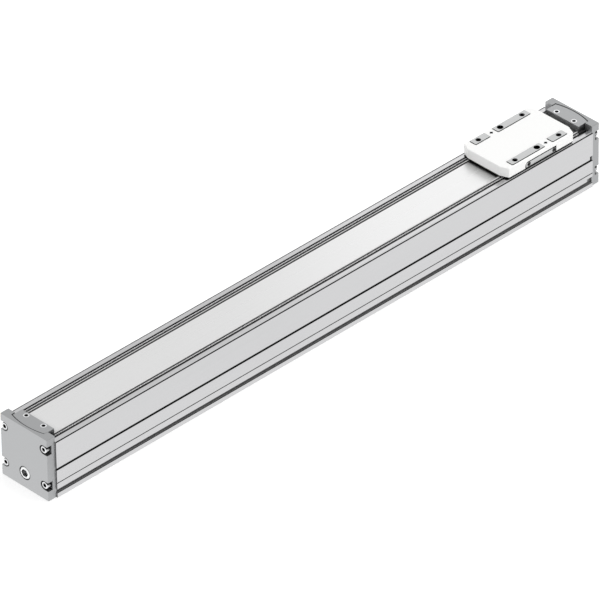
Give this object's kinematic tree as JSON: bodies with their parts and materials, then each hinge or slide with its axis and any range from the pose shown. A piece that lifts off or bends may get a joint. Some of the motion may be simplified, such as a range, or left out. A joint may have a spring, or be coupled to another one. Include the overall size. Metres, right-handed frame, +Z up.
{
  "type": "electric linear axis",
  "caption": "Spindle-driven linear axis: closed aluminium profile with a cover strip and a slide that travels along it.",
  "frame": {"origin": "middle of the profile's bottom face", "axes": "+X along the travel towards the drive end, +Z up through the cover strip, +Y to the left of the travel"},
  "size_m": [0.6878, 0.06, 0.0695],
  "materials": {
    "profile_aluminium": "satin clear anodised",
    "cap_aluminium": "fine blasted and clear anodised",
    "clamp_aluminium": "satin clear anodised",
    "machined_aluminium": "machined, clear anodised",
    "strip_steel": "rolled stainless steel strip",
    "edge_plastic": "smooth extruded plastic",
    "white_plastic": "fine satin moulding",
    "screw_steel": "zinc plated",
    "plug_steel": "turned and zinc plated",
    "hardened_steel": "ground and oiled",
    "black_plastic": "moulded",
    "black_rubber": "matt",
    "magnet_dark": "coated magnet"
  },
  "bodies": {
    "housing": {"housing_profile": "profile_aluminium", "drive_end_cap": "cap_aluminium", "idle_end_cap": "cap_aluminium", "drive_cap_screws": "screw_steel", "idle_cap_screws": "screw_steel", "idle_end_plug": "plug_steel", "cover_strip": "strip_steel", "strip_edges": "edge_plastic", "drive_strip_clamp": "clamp_aluminium", "idle_strip_clamp": "clamp_aluminium", "drive_clamp_screws": "screw_steel", "idle_clamp_screws": "screw_steel", "guide_rail_left": "hardened_steel", "guide_rail_right": "hardened_steel", "rail_screws_left": "screw_steel", "rail_screws_right": "screw_steel", "drive_end_buffer": "black_rubber", "idle_end_buffer": "black_rubber", "bearing_retainer": "hardened_steel", "shaft_seal": "black_rubber", "idle_retaining_ring": "hardened_steel", "drive_bearing_outer_rings": "hardened_steel", "idle_bearing_outer_ring": "hardened_steel", "drive_bearing_balls": "hardened_steel", "idle_bearing_balls": "hardened_steel"},
    "slide": {"slide_yoke": "machined_aluminium", "slide_cover": "white_plastic", "cover_screws": "screw_steel", "switch_lug_bar": "machined_aluminium", "switch_lug_screws": "screw_steel", "strip_glides": "black_plastic", "drive_strip_wiper": "black_rubber", "idle_strip_wiper": "black_rubber", "carriage_body": "machined_aluminium", "yoke_screws": "screw_steel", "guide_blocks_left": "hardened_steel", "guide_blocks_right": "hardened_steel", "guide_block_caps_left": "black_plastic", "guide_block_caps_right": "black_plastic", "block_screws_left": "screw_steel", "block_screws_right": "screw_steel", "sensor_magnets": "magnet_dark", "spindle_nut": "hardened_steel", "nut_wipers": "black_plastic", "nut_screws": "screw_steel"},
    "spindle": {"spindle_shaft": "hardened_steel", "bearing_lock_nut": "hardened_steel", "drive_bearing_inner_rings": "hardened_steel", "idle_bearing_inner_ring": "hardened_steel"}
  },
  "joints": [
    {"name": "slide_travel", "type": "slide", "parent": "housing", "child": "slide", "axis": [1, 0, 0], "range_m": [-0.532, 0.008]},
    {"name": "spindle_spin", "type": "hinge", "parent": "housing", "child": "spindle", "pos_m": [0, 0, 0.0153], "axis": [1, 0, 0], "range_deg": [-240.5, 15960.5]}
  ],
  "couplings": [
    {"joint": "spindle_spin", "follows": "slide_travel", "rad_per_m": -523.6}
  ]
}
